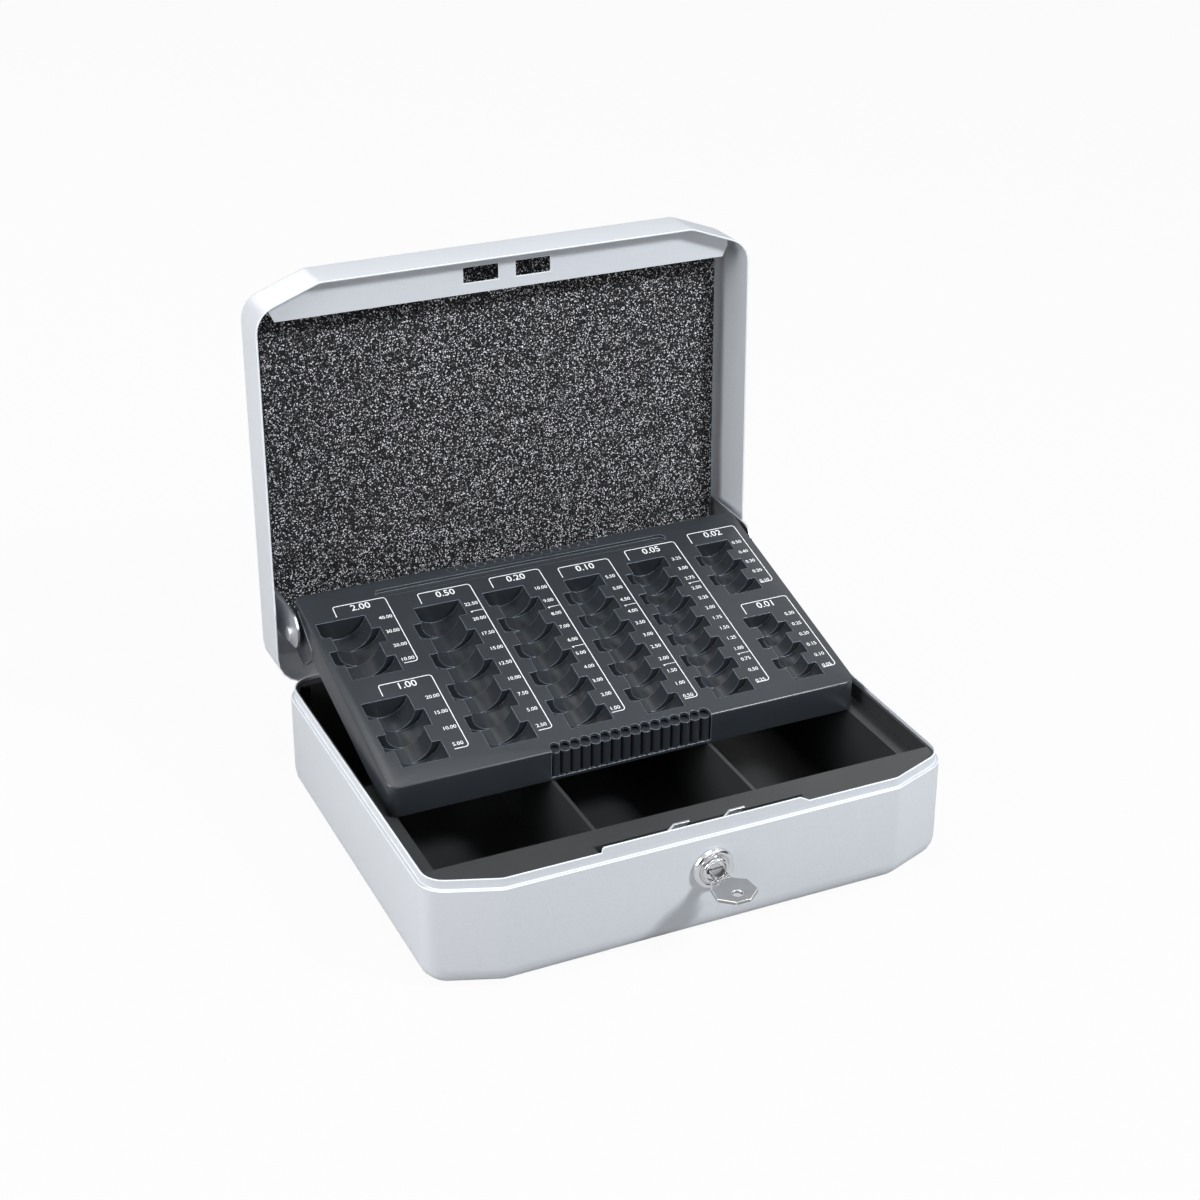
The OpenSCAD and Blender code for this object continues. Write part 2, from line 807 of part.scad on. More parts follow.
module lock_plug() {
    color([0.78, 0.78, 0.79])
    translate([lock_x, 0, 0])
    difference() {
        union() {
            rod_y(front_y + plug_recess - rosette_depth, front_y - 1.5, 0, lock_height, plug_flange);
            rod_y(front_y - 2, cam_y, 0, lock_height, plug_diameter / 2);
            rod_y(cam_y - 1, cam_end, 0, lock_height, tail_radius);
        }
        box_between([-4.3, front_y - 10, lock_height - 1.2], [4.3, front_y + 14.5, lock_height + 1.2]);
    }
}

module lock_cam() {
    color([0.70, 0.70, 0.72])
    translate([lock_x, 0, 0])
    difference() {
        union() {
            rod_y(cam_y, cam_end, 0, lock_height, cam_throw + pin_radius + 0.8);
            rod_y(cam_y, bolt_end, -cam_throw, lock_height, pin_radius);
        }
        rod_y(cam_y - 1, cam_end + 1, 0, lock_height, tail_radius);
    }
}

// Outline of a round-ended slot from p to q
function stadium(p, q, r) =
    let (a = atan2(q[1] - p[1], q[0] - p[0]))
    concat([for (i = [-4 : 4]) q + r * [cos(a + 22.5 * i), sin(a + 22.5 * i)]],
           [for (i = [4 : 12]) p + r * [cos(a + 22.5 * i), sin(a + 22.5 * i)]]);

// Claw that leans to the right so that the lid can't be lifted off it
module claw(x) {
    knee_x = x - claw_span / 2 - 0.6 - (strip_height + strip_top) / 2 + claw_knee;
    left = knee_x - claw_span / 2;
    right = knee_x + claw_span / 2;
    rise = claw_top - claw_knee;
    profile_y(claw_y, claw_y + claw_thickness, [
        [left, bolt_high - bolt_thickness],
        [right, bolt_high - bolt_thickness],
        [right, claw_knee],
        [right + rise, claw_top],
        [left + rise, claw_top],
        [left, claw_knee]
    ]);
    box_between([left, claw_y, bolt_high - bolt_thickness], [right, bolt_end, bolt_high]);
}

module lock_bolt() {
    drive = cam_throw * (sqrt(2) - 1) / sqrt(2);
    color([0.68, 0.68, 0.70])
    translate([lock_x, 0, 0])
    union() {
        difference() {
            box_between([-stud_x - 11, bolt_y, bolt_low], [stud_x + 5.5, bolt_end, bolt_high]);
            profile_y(bolt_y - 1, bolt_end + 1, stadium([-cam_throw, lock_height],
                      [-cam_throw - drive, lock_height + drive], pin_radius + slide));
            for (x = [-stud_x, stud_x]) {
                profile_y(bolt_y - 1, bolt_end + 1, stadium([x, lock_height],
                          [x - cam_throw, lock_height - cam_throw], stud_radius + slide));
            }
        }
        claw(-slot_near - lock_x);
        claw(slot_far - lock_x);
    }
}

module lock_bracket(side) {
    plate = 1.4;
    color([0.70, 0.70, 0.72])
    translate([lock_x, 0, 0])
    mirror([side < 0 ? 1 : 0, 0, 0])
    difference() {
        union() {
            box_between([stud_x + 4, wall_y, lock_height - 6.5], [stud_x + 18, wall_y + plate, lock_height + 6]);
            box_between([stud_x + 4, wall_y, lock_height - 6.5], [stud_x + 4 + plate, face_y + plate, lock_height + 6]);
            box_between([stud_x - 8, face_y, lock_height - 6.5], [stud_x + 4 + plate, face_y + plate, lock_height + 6]);
        }
        rod_y(face_y - 1, face_y + 3, stud_x, lock_height, stud_radius);
    }
}

module lock_bracket_left() {
    lock_bracket(-1);
}

module lock_bracket_right() {
    lock_bracket(1);
}

module guide_studs() {
    color([0.74, 0.74, 0.76])
    for (x = [lock_x - stud_x, lock_x + stud_x]) {
        rod_y(face_y, bolt_end + 1.2, x, lock_height, stud_radius);
        rod_y(face_y + 1.4, bolt_y - 0.2, x, lock_height, stud_radius + 1);
        rod_y(bolt_end + 0.2, bolt_end + 1.2, x, lock_height, stud_radius + 1.5);
    }
}

module key() {
    half = bow_width / 2;
    color([0.80, 0.80, 0.81])
    translate([lock_x, 0, 0])
    difference() {
        union() {
            // Bow
            translate([0, 0, lock_height - 1]) linear_extrude(2) polygon([
                [-4, bow_start], [-half + 1, bow_start - 4], [-half, bow_start - 13.5], [-half + 7, bow_start - 19.5],
                [half - 7, bow_start - 19.5], [half, bow_start - 13.5], [half - 1, bow_start - 4], [4, bow_start]
            ]);
            // Blade with its cuts
            translate([0, 0, lock_height - 0.95]) linear_extrude(1.9) polygon([
                [-4, bow_start - 1], [4, bow_start - 1], [4, front_y + 12.5], [3, front_y + 13.5],
                [-2, front_y + 13.5], [-2.6, front_y + 11], [-1.6, front_y + 9], [-2.8, front_y + 7],
                [-2, front_y + 5], [-3, front_y + 3], [-2.2, front_y + 1], [-4, front_y - 2]
            ]);
        }
        translate([0, bow_start - 13, lock_height - 3]) cylinder(h = 6, r = 2.5);
    }
}

module carry_handle() {
    bar = handle_bar / 2;
    end = handle_span / 2;
    color([0.16, 0.16, 0.17])
    on_open_lid()
    union() {
        rod_x(-end - bar, end + bar, handle_y + handle_reach, handle_z, bar);
        rod_x(4 - end, end - 4, handle_y + handle_reach, handle_z, grip_diameter / 2);
        for (side = [-1, 1]) {
            rod_y(handle_y - bar, handle_y + handle_reach, side * end, handle_z, bar - 0.02);
            translate([side * (end + bar + 1.5), handle_y, handle_z]) rotate([0, 90, 0])
                cylinder(h = 2 * bar + 3, r = bar - 0.1, center = true);
        }
    }
}

module handle_bracket(side) {
    color([0.74, 0.74, 0.76])
    on_open_lid()
    mirror([side < 0 ? 1 : 0, 0, 0])
    difference() {
        union() {
            box_between([bracket_x, handle_y - 8, lid_top],
                        [bracket_x + bracket_length, handle_y + 8, lid_top + bracket_sheet]);
            box_between([bracket_x, handle_y - 5, lid_top],
                        [bracket_x + bracket_sheet, handle_y + 5, handle_z + handle_bar / 2 + 1.5]);
        }
        rod_x(bracket_x - 1, bracket_x + bracket_sheet + 1, handle_y, handle_z, handle_bar / 2 - 0.1 + running);
        for (y = [-rivet_y, rivet_y]) {
            translate([rivet_x, handle_y + y, lid_top - 1]) cylinder(h = 5, r = rivet_radius);
        }
    }
}

module handle_bracket_left() {
    handle_bracket(-1);
}

module handle_bracket_right() {
    handle_bracket(1);
}

module handle_rivets() {
    color([0.74, 0.74, 0.76])
    on_open_lid()
    for (x = [-rivet_x, rivet_x]) {
        for (y = [-rivet_y, rivet_y]) {
            translate([x, handle_y + y, lid_inside]) cylinder(h = sheet + bracket_sheet + 0.2, r = rivet_radius);
            translate([x, handle_y + y, lid_top + bracket_sheet]) cylinder(h = 1.2, r1 = 3, r2 = 2);
        }
    }
}

base_shell();
note_insert();
lid_shell();
lid_foam();
lid_strip();
coin_tray();
tray_ear_left();
tray_ear_right();
tray_pivots();
hinge_base_leaf_left();
hinge_base_leaf_right();
hinge_lid_leaf_left();
hinge_lid_leaf_right();
hinge_pins();
lock_body();
lock_nut();
lock_plug();
lock_cam();
lock_bolt();
lock_bracket_left();
lock_bracket_right();
guide_studs();
key();
carry_handle();
handle_bracket_left();
handle_bracket_right();
handle_rivets();
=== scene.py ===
import math

import bmesh
import bpy
from mathutils import Matrix, Vector, noise


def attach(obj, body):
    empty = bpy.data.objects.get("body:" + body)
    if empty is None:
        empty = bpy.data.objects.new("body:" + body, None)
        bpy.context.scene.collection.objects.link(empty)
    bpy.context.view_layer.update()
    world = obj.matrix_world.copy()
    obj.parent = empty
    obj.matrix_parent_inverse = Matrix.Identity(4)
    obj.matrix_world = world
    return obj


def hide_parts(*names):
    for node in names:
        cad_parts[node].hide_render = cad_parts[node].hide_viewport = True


bl_info = {
    "name": "Cash Box Dresser",
    "version": (1, 0, 0),
    "blender": (4, 5, 0),
    "location": "View3D > Sidebar > Cash Box",
    "description": "Dresses the steel cash box with its coin tray, foam, lock and printed scales",
    "category": "Object",
}

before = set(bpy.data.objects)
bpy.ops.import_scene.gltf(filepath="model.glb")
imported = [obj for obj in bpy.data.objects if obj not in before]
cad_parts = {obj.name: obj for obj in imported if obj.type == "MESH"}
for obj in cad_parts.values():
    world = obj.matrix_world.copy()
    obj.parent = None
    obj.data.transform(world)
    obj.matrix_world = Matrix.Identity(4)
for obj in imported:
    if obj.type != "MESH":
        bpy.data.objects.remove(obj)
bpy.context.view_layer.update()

# All sizes are in metres, and all angles in radians, unless a note says otherwise
MM = 0.001

# Meshes
MERGE_GAP = 0.000004
FLAT_ANGLE = math.radians(0.6)  # faces that turn less than this become one
CRISP_ANGLE = 32.0  # degrees; sharper edges stay crisp

# Widths of the softened edges
LEAF_EDGE = 0.00012
PIN_EDGE = 0.00015
PLATE_EDGE = 0.0002
FITTING_EDGE = 0.0003
KEY_EDGE = 0.00045
GRIP_EDGE = 0.0006

# Rounded lower edge of the base, and the recess pressed under its front
BASE_ROUND = 0.012
ROUND_START = -0.1005
RECESS_FRONT = -0.1076
RECESS_TOP = 0.0022
RECESS_INSET = 0.00045
NEAR = 0.0001

# The tray as it stands lifted: its pivot and tilt, and its top and rear edge seen from the pivot
TRAY_PIVOT = Vector((0.0, 0.1142, 0.0860))
TRAY_TILT = math.radians(14.7)
TRAY_TOP = 0.0179
TRAY_REAR = 0.0084

# Foam: points behind FOAM_BACK lie in the lid and keep their place
FOAM_BACK = 0.1508
FOAM_MERGE = 0.00001
FOAM_SHARP = 0.6
FOAM_ROUND = 0.0012
FOAM_MESH = 0.009
FOAM_PASSES = 5
FOAM_WAVE = 0.00035
FOAM_WAVES_PER_METRE = 38.0
FOAM_CRISP = 50.0  # degrees

# Coin columns in millimetres: start from the tray's rear edge, groups of coins, thickness of
# a coin, left end of the header line, line on the right, value of a coin
COLUMNS = (
    (24.8, 4, 2.20, -114.9, -85.3, 2.00),
    (89.0, 4, 2.33, -112.1, -83.0, 1.00),
    (27.5, 9, 2.38, -68.0, -37.7, 0.50),
    (26.5, 10, 2.14, -26.1, 3.6, 0.20),
    (29.3, 11, 1.93, 13.8, 44.4, 0.10),
    (26.3, 13, 1.67, 55.6, 86.8, 0.05),
    (23.0, 5, 1.67, 96.4, 126.5, 0.02),
    (86.8, 6, 1.67, 98.7, 127.0, 0.01),
)
# Groups before each roll mark, by the value of a coin
ROLL_MARKS = {0.50: (1,), 0.20: (2, 5), 0.10: (3, 8), 0.05: (3, 10)}
GROUP_COINS = 5
GROUP_ROOM = 0.3

# Print
INK = 0.00006  # thickness
TYPE_WEIGHT = 0.008  # thickening of the letters, as a share of their size
CORNER_STEPS = 5

# Layout of the print round a column in millimetres, from the column's start or its right line
HEADER_LINE = 10.6
HEADER_DROP = 3.6
LEG_END = 2.5
LEG_LEAN = 0.2
LEG_TOP = 1.4
LEFT_CORNER = 1.3
LEFT_CORNER_INSET = 1.5
RIGHT_CORNER = 1.8
FOOT_LINE = 3.8
FOOT_LENGTH = 7.8
AMOUNT_INSET = 4.9
AMOUNT_SHARE = 0.42  # of its group
MARK_LIFT = 0.6
MARK_SHARE = 0.05  # of its group
MARK_ENDS = (7.6, 0.6)
MARK_WEIGHT = 0.7  # of the other lines' width
ARROW_INSET = 6.6
ARROW_SIZE = 1.1

# Lights: name, place, height aimed at, size of the disc, power in watts, colour
LIGHTS = (
    ("key_light", (0.95, -1.1, 1.35), 0.08, 0.35, 34.0, (0.95, 0.98, 1.0)),
    ("fill_light", (-1.7, -0.25, 0.8), 0.1, 1.2, 27.0, (1.0, 1.0, 1.0)),
    ("top_light", (-0.2, 0.1, 1.7), 0.1, 1.0, 8.0, (1.0, 1.0, 1.0)),
    ("rear_light", (-0.3, 1.7, 1.0), 0.12, 1.0, 7.0, (1.0, 1.0, 1.0)),
)
EVEN_LIGHT = 0.22
# What shiny metal mirrors, from the horizon up: height, brightness
STUDIO_BANDS = ((0.0, 0.30), (0.10, 0.04), (0.30, 0.08), (0.42, 1.3), (0.80, 0.75))
WHITE = (1.0, 1.0, 1.0, 1.0)
FLOOR_TONE = (0.45, 0.45, 0.45, 1.0)
FLOOR_GLOW = 0.95  # share of plain white in what the camera sees of the floor
FLOOR_SIZE = 6.0
FLOOR_DROP = 0.0002

CAMERA_PLACE = (-0.4378, -0.9308, 0.6586)
CAMERA_TURN = math.radians(24.861)
CAMERA_DIP = math.radians(24.153)
CAMERA_ROLL = math.radians(0.199)
CAMERA_LENS = 68.31  # millimetres
CAMERA_SHIFT = -0.1


# ---------------------------------------------------------------- settings

class CashBoxFinish(bpy.types.PropertyGroup):
    """Colours of the box and its fittings."""
    paint: bpy.props.FloatVectorProperty(
        name="Steel paint", description="Powder coat of the base and the lid",
        subtype="COLOR", size=3, min=0.0, max=1.0, default=(0.585, 0.606, 0.645))
    tray: bpy.props.FloatVectorProperty(
        name="Tray plastic", description="Colour of the moulded coin tray",
        subtype="COLOR", size=3, min=0.0, max=1.0, default=(0.025, 0.029, 0.035))
    insert: bpy.props.FloatVectorProperty(
        name="Insert plastic", description="Colour of the note insert",
        subtype="COLOR", size=3, min=0.0, max=1.0, default=(0.032, 0.034, 0.036))
    foam: bpy.props.FloatVectorProperty(
        name="Foam", description="Ground colour of the foam in the lid",
        subtype="COLOR", size=3, min=0.0, max=1.0, default=(0.008, 0.008, 0.009))
    fleck: bpy.props.FloatVectorProperty(
        name="Foam flecks", description="Colour of the pale flecks in the foam",
        subtype="COLOR", size=3, min=0.0, max=1.0, default=(0.92, 0.92, 0.96))
    print_ink: bpy.props.FloatVectorProperty(
        name="Print", description="Colour of the scales printed on the tray",
        subtype="COLOR", size=3, min=0.0, max=1.0, default=(0.82, 0.84, 0.86))


class CashBoxSizes(bpy.types.PropertyGroup):
    """Sizes of the finishing details."""
    edge: bpy.props.FloatProperty(
        name="Sheet edge radius", description="Rounding of the painted steel's edges",
        subtype="DISTANCE", unit="LENGTH", default=0.00035, min=0.0, max=0.001)
    moulded_edge: bpy.props.FloatProperty(
        name="Moulded edge radius", description="Rounding of the plastic's edges",
        subtype="DISTANCE", unit="LENGTH", default=0.0004, min=0.0, max=0.001)
    line_width: bpy.props.FloatProperty(
        name="Printed line width", description="Width of the lines round the coin columns",
        subtype="DISTANCE", unit="LENGTH", default=0.0005, min=0.0003, max=0.002)
    number_height: bpy.props.FloatProperty(
        name="Number size", description="Type size of the printed amounts",
        subtype="DISTANCE", unit="LENGTH", default=0.0034, min=0.001, max=0.006)
    header_height: bpy.props.FloatProperty(
        name="Header size", description="Type size of the number over each column",
        subtype="DISTANCE", unit="LENGTH", default=0.0064, min=0.002, max=0.008)


# ---------------------------------------------------------------- materials

def new_material(name):
    """A fresh material with a Principled shader; returns it with its node tree and shader."""
    mat = bpy.data.materials.new(name)
    mat.use_nodes = True
    tree = mat.node_tree
    return mat, tree, tree.nodes["Principled BSDF"]


def object_coords(tree):
    """Coordinates fixed to the piece."""
    return tree.nodes.new("ShaderNodeTexCoord").outputs["Object"]


def noise_node(tree, coords, scale, detail):
    """Soft noise over the surface."""
    node = tree.nodes.new("ShaderNodeTexNoise")
    node.inputs["Scale"].default_value = scale
    node.inputs["Detail"].default_value = detail
    node.inputs["Roughness"].default_value = 0.55
    tree.links.new(coords, node.inputs["Vector"])
    return node


def ramp_node(tree, source, stops):
    """Colour ramp fed by source; stops are (place, colour)."""
    node = tree.nodes.new("ShaderNodeValToRGB")
    ramp = node.color_ramp
    while len(ramp.elements) < len(stops):
        ramp.elements.new(0.5)
    for element, (place, colour) in zip(ramp.elements, stops):
        element.position = place
        element.color = (*colour, 1.0)
    tree.links.new(source, node.inputs["Fac"])
    return node


def tint_by(tree, shader, source, stops):
    """Colours the surface by a ramp fed by source; returns the ramp."""
    tint = ramp_node(tree, source, stops)
    tree.links.new(tint.outputs["Color"], shader.inputs["Base Color"])
    return tint


def add_bump(tree, shader, source, strength, distance):
    """Fine relief fed by source; returns its node."""
    bump = tree.nodes.new("ShaderNodeBump")
    bump.inputs["Strength"].default_value = strength
    bump.inputs["Distance"].default_value = distance
    tree.links.new(source, bump.inputs["Height"])
    tree.links.new(bump.outputs["Normal"], shader.inputs["Normal"])
    return bump


def vary_roughness(tree, shader, source, low, high):
    """Roughness between low and high, fed by source."""
    node = tree.nodes.new("ShaderNodeMapRange")
    node.inputs["To Min"].default_value = low
    node.inputs["To Max"].default_value = high
    tree.links.new(source, node.inputs["Value"])
    tree.links.new(node.outputs["Result"], shader.inputs["Roughness"])


def shade(colour, factor):
    """The colour made darker or paler by a factor."""
    return tuple(min(1.0, c * factor) for c in colour)


def powder_coat(name, colour):
    """Fine-grained powder coat with a faint orange peel."""
    mat, tree, shader = new_material(name)
    coords = object_coords(tree)
    grain = noise_node(tree, coords, scale=2600.0, detail=2.0)
    cloud = noise_node(tree, coords, scale=14.0, detail=3.0)
    tint_by(tree, shader, grain.outputs["Fac"], [
        (0.30, shade(colour, 0.93)), (0.52, colour), (0.72, shade(colour, 1.05))])
    vary_roughness(tree, shader, cloud.outputs["Fac"], low=0.34, high=0.44)
    add_bump(tree, shader, grain.outputs["Fac"], strength=0.12, distance=0.00006)
    return mat


def paint_edge_highlights(tree, shader, bump, tint, colour):
    """Rounds the shading at the edges and gives them a paler tone: a painted highlight along the
    edges.
    """
    rounded = tree.nodes.new("ShaderNodeBevel")
    rounded.samples = 4
    rounded.inputs["Radius"].default_value = 0.0005
    tree.links.new(rounded.outputs["Normal"], bump.inputs["Normal"])
    face = tree.nodes.new("ShaderNodeNewGeometry")
    turn = tree.nodes.new("ShaderNodeVectorMath")
    turn.operation = "DOT_PRODUCT"
    tree.links.new(rounded.outputs["Normal"], turn.inputs[0])
    tree.links.new(face.outputs["Normal"], turn.inputs[1])
    share = tree.nodes.new("ShaderNodeMapRange")
    share.inputs["From Min"].default_value = 0.99
    share.inputs["From Max"].default_value = 0.85
    tree.links.new(turn.outputs["Value"], share.inputs["Value"])
    blend = tree.nodes.new("ShaderNodeMixRGB")
    blend.inputs["Color2"].default_value = (*colour, 1.0)
    tree.links.new(share.outputs["Result"], blend.inputs["Fac"])
    tree.links.new(tint.outputs["Color"], blend.inputs["Color1"])
    tree.links.new(blend.outputs["Color"], shader.inputs["Base Color"])


def moulded_plastic(name, colour, rough, gloss=0.5, edge_highlight=0.0):
    """Moulded plastic with an eroded matt grain; the last argument is how many times paler its
    edges are painted, as a highlight.
    """
    mat, tree, shader = new_material(name)
    coords = object_coords(tree)
    pits = noise_node(tree, coords, scale=1500.0, detail=3.0)
    cloud = noise_node(tree, coords, scale=22.0, detail=3.0)
    tint = tint_by(tree, shader, cloud.outputs["Fac"], [
        (0.30, shade(colour, 0.90)), (0.70, shade(colour, 1.10))])
    vary_roughness(tree, shader, pits.outputs["Fac"], low=rough - 0.05, high=rough + 0.08)
    shader.inputs["Specular IOR Level"].default_value = gloss
    bump = add_bump(tree, shader, pits.outputs["Fac"], strength=0.22, distance=0.00005)
    # Painted highlight: a paler tone along the edges
    if edge_highlight:
        paint_edge_highlights(tree, shader, bump, tint, shade(colour, edge_highlight))
    return mat


def flecked_foam(name, ground, fleck):
    """Open-cell foam with pale flecks."""
    mat, tree, shader = new_material(name)
    coords = object_coords(tree)
    cells = tree.nodes.new("ShaderNodeTexVoronoi")
    cells.inputs["Scale"].default_value = 1900.0
    tree.links.new(coords, cells.inputs["Vector"])
    chance = tree.nodes.new("ShaderNodeSeparateColor")
    tree.links.new(cells.outputs["Color"], chance.inputs["Color"])
    tint_by(tree, shader, chance.outputs["Red"], [
        (0.70, ground), (0.85, shade(fleck, 0.12)), (0.97, fleck)])
    vary_roughness(tree, shader, cells.outputs["Distance"], low=0.75, high=0.95)
    shader.inputs["Specular IOR Level"].default_value = 0.25
    add_bump(tree, shader, cells.outputs["Distance"], strength=0.6, distance=0.0003)
    return mat


def bright_zinc(name, colour):
    """Zinc-plated steel with soft spangle."""
    mat, tree, shader = new_material(name)
    coords = object_coords(tree)
    spangle = tree.nodes.new("ShaderNodeTexVoronoi")
    spangle.inputs["Scale"].default_value = 260.0
    tree.links.new(coords, spangle.inputs["Vector"])
    cloud = noise_node(tree, coords, scale=60.0, detail=4.0)
    tint_by(tree, shader, spangle.outputs["Distance"], [
        (0.0, shade(colour, 0.92)), (1.0, shade(colour, 1.04))])
    shader.inputs["Metallic"].default_value = 1.0
    vary_roughness(tree, shader, cloud.outputs["Fac"], low=0.24, high=0.40)
    add_bump(tree, shader, spangle.outputs["Distance"], strength=0.05, distance=0.0001)
    return mat


def polished_plate(name, colour, rough):
    """Chrome or nickel plate with faint wiping marks."""
    mat, tree, shader = new_material(name)
    coords = object_coords(tree)
    stretch = tree.nodes.new("ShaderNodeMapping")
    stretch.inputs["Scale"].default_value = (1.0, 0.2, 3.0)
    tree.links.new(coords, stretch.inputs["Vector"])
    marks = noise_node(tree, stretch.outputs["Vector"], scale=900.0, detail=5.0)
    tint_by(tree, shader, marks.outputs["Fac"], [(0.35, shade(colour, 0.94)), (0.65, colour)])
    shader.inputs["Metallic"].default_value = 1.0
    vary_roughness(tree, shader, marks.outputs["Fac"], low=rough, high=rough + 0.08)
    add_bump(tree, shader, marks.outputs["Fac"], strength=0.03, distance=0.00004)
    return mat


def screen_print(name, colour):
    """Pale ink printed on grained plastic."""
    mat, tree, shader = new_material(name)
    coords = object_coords(tree)
    pits = noise_node(tree, coords, scale=1800.0, detail=3.0)
    tint_by(tree, shader, pits.outputs["Fac"], [(0.24, shade(colour, 0.70)), (0.42, colour)])
    shader.inputs["Roughness"].default_value = 0.6
    add_bump(tree, shader, pits.outputs["Fac"], strength=0.1, distance=0.00003)
    return mat


def finish_named(name):
    """The shared material of a finish, made on its first use."""
    title = "finish_" + name
    mat = bpy.data.materials.get(title)
    if mat:
        return mat
    tones = bpy.context.scene.cash_box_finish
    makers = {
        "painted_steel": lambda: powder_coat(title, tones.paint),
        # Paler coat for the steel's softened edges: a painted highlight along them
        "paint_edge_highlight": lambda: powder_coat(title, shade(tones.paint, 1.4)),
        "black_paint": lambda: powder_coat(title, (0.020, 0.020, 0.021)),
        # The tray's edges are painted twelve times paler as a highlight
        "tray_plastic": lambda: moulded_plastic(
            title, tones.tray, rough=0.31, gloss=0.6, edge_highlight=12.0),
        "insert_plastic": lambda: moulded_plastic(title, tones.insert, rough=0.36),
        "foam": lambda: flecked_foam(title, tones.foam, tones.fleck),
        "zinc_steel": lambda: bright_zinc(title, (0.78, 0.79, 0.82)),
        "chrome_plate": lambda: polished_plate(title, (0.80, 0.80, 0.82), rough=0.05),
        "nickel_brass": lambda: polished_plate(title, (0.36, 0.36, 0.36), rough=0.14),
        "print_ink": lambda: screen_print(title, tones.print_ink),
    }
    return makers[name]()


# ---------------------------------------------------------------- mesh helpers

def link_piece(name, mesh, material, body):
    """Makes the mesh a piece that rides on a CAD body."""
    piece = bpy.data.objects.new(name, mesh)
    bpy.context.scene.collection.objects.link(piece)
    mesh.materials.clear()
    mesh.materials.append(finish_named(material))
    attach(piece, body)
    return piece


def whole_faces(bm, gap):
    """Merges points closer than gap and joins the faces that lie flat with each other."""
    bmesh.ops.remove_doubles(bm, verts=bm.verts, dist=gap)
    bmesh.ops.dissolve_limit(bm, angle_limit=FLAT_ANGLE, use_dissolve_boundaries=False,
                             verts=bm.verts, edges=bm.edges)


def smooth_by_angle(bm, degrees):
    """Smooths all faces and keeps edges sharper than the angle crisp."""
    limit = math.radians(degrees)
    for face in bm.faces:
        face.smooth = True
    for edge in bm.edges:
        edge.smooth = not (len(edge.link_faces) == 2 and edge.calc_face_angle(0.0) > limit)


def flush_recess(bm):
    """Draws the ends of the recess under the front edge back to the rounded lower edge."""
    for v in bm.verts:
        if abs(v.co.y - RECESS_FRONT) < NEAR and v.co.z < RECESS_TOP:
            drop = math.sqrt(BASE_ROUND ** 2 - (BASE_ROUND - v.co.z) ** 2)
            v.co.y = ROUND_START + RECESS_INSET - drop


def dress(node, material, body, width, angle=CRISP_ANGLE, segments=2, edge=None, shape=None):
    """Stands a finished copy of a CAD node in its place: whole faces, softened edges, smooth
    curves. edge names another finish, painted on the softened edges as a paler highlight,
    whose full width is then kept beside small faces too; shape is a function that corrects
    the copied mesh first."""
    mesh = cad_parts[node].data.copy()
    mesh.name = node + "_finished"
    bm = bmesh.new()
    bm.from_mesh(mesh)
    if shape:
        shape(bm)
    whole_faces(bm, MERGE_GAP)
    smooth_by_angle(bm, angle)
    bm.to_mesh(mesh)
    bm.free()
    piece = link_piece(node + "_finished", mesh, material, body)
    if width > 0:
        bevel = piece.modifiers.new("Softened edges", "BEVEL")
        bevel.width = width
        bevel.segments = segments
        bevel.limit_method = "ANGLE"
        bevel.angle_limit = math.radians(angle)
        bevel.use_clamp_overlap = edge is None
        bevel.harden_normals = True
        # The bevel faces take the second finish: a paler tone painted on as a highlight
        if edge:
            mesh.materials.append(finish_named(edge))
            bevel.material = 1
    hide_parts(node)


def to_tray(bm):
    """Moves a mesh drawn flat, X across and Y from the rear edge, onto the lifted tray's top."""
    place = (Matrix.Translation(TRAY_PIVOT) @ Matrix.Rotation(TRAY_TILT, 4, "X")
             @ Matrix.Translation((0.0, TRAY_REAR, TRAY_TOP)))
    bmesh.ops.transform(bm, matrix=place, verts=bm.verts)


def ink_layer(bm, faces):
    """Gives flat faces the ink's thickness, with their undersides just inside the plastic."""
    out = bmesh.ops.extrude_face_region(bm, geom=faces)
    under = [v for v in out["geom"] if isinstance(v, bmesh.types.BMVert)]
    bmesh.ops.translate(bm, verts=under, vec=(0, 0, -1.5 * INK))


def ribbon(bm, points, width):
    """Flat printed line along points given in millimetres."""
    half = width / 2
    rows = []
    for i, p in enumerate(points):
        a = Vector(points[max(i - 1, 0)])
        b = Vector(points[min(i + 1, len(points) - 1)])
        along = (b - a).normalized()
        across = Vector((-along.y, along.x)) * half
        place = Vector(p) * MM
        rows.append([bm.verts.new((place.x + s * across.x, place.y + s * across.y, INK))
                     for s in (1, -1)])
    ink_layer(bm, [bm.faces.new((r[0], r[1], q[1], q[0])) for r, q in zip(rows, rows[1:])])


def arrow(bm, x, y, size):
    """Small solid triangle that stands on a printed line, in millimetres."""
    corners = ((x - size, y), (x + size * 0.4, y), (x - size * 0.3, y - size))
    ink_layer(bm, [bm.faces.new([bm.verts.new((a * MM, b * MM, INK)) for a, b in corners])])


def arc(cx, cy, r, start, end):
    """Points round a corner, from the start angle to the end angle in degrees."""
    turns = [math.radians(start + (end - start) * i / CORNER_STEPS)
             for i in range(CORNER_STEPS + 1)]
    return [(cx + r * math.cos(t), cy + r * math.sin(t)) for t in turns]


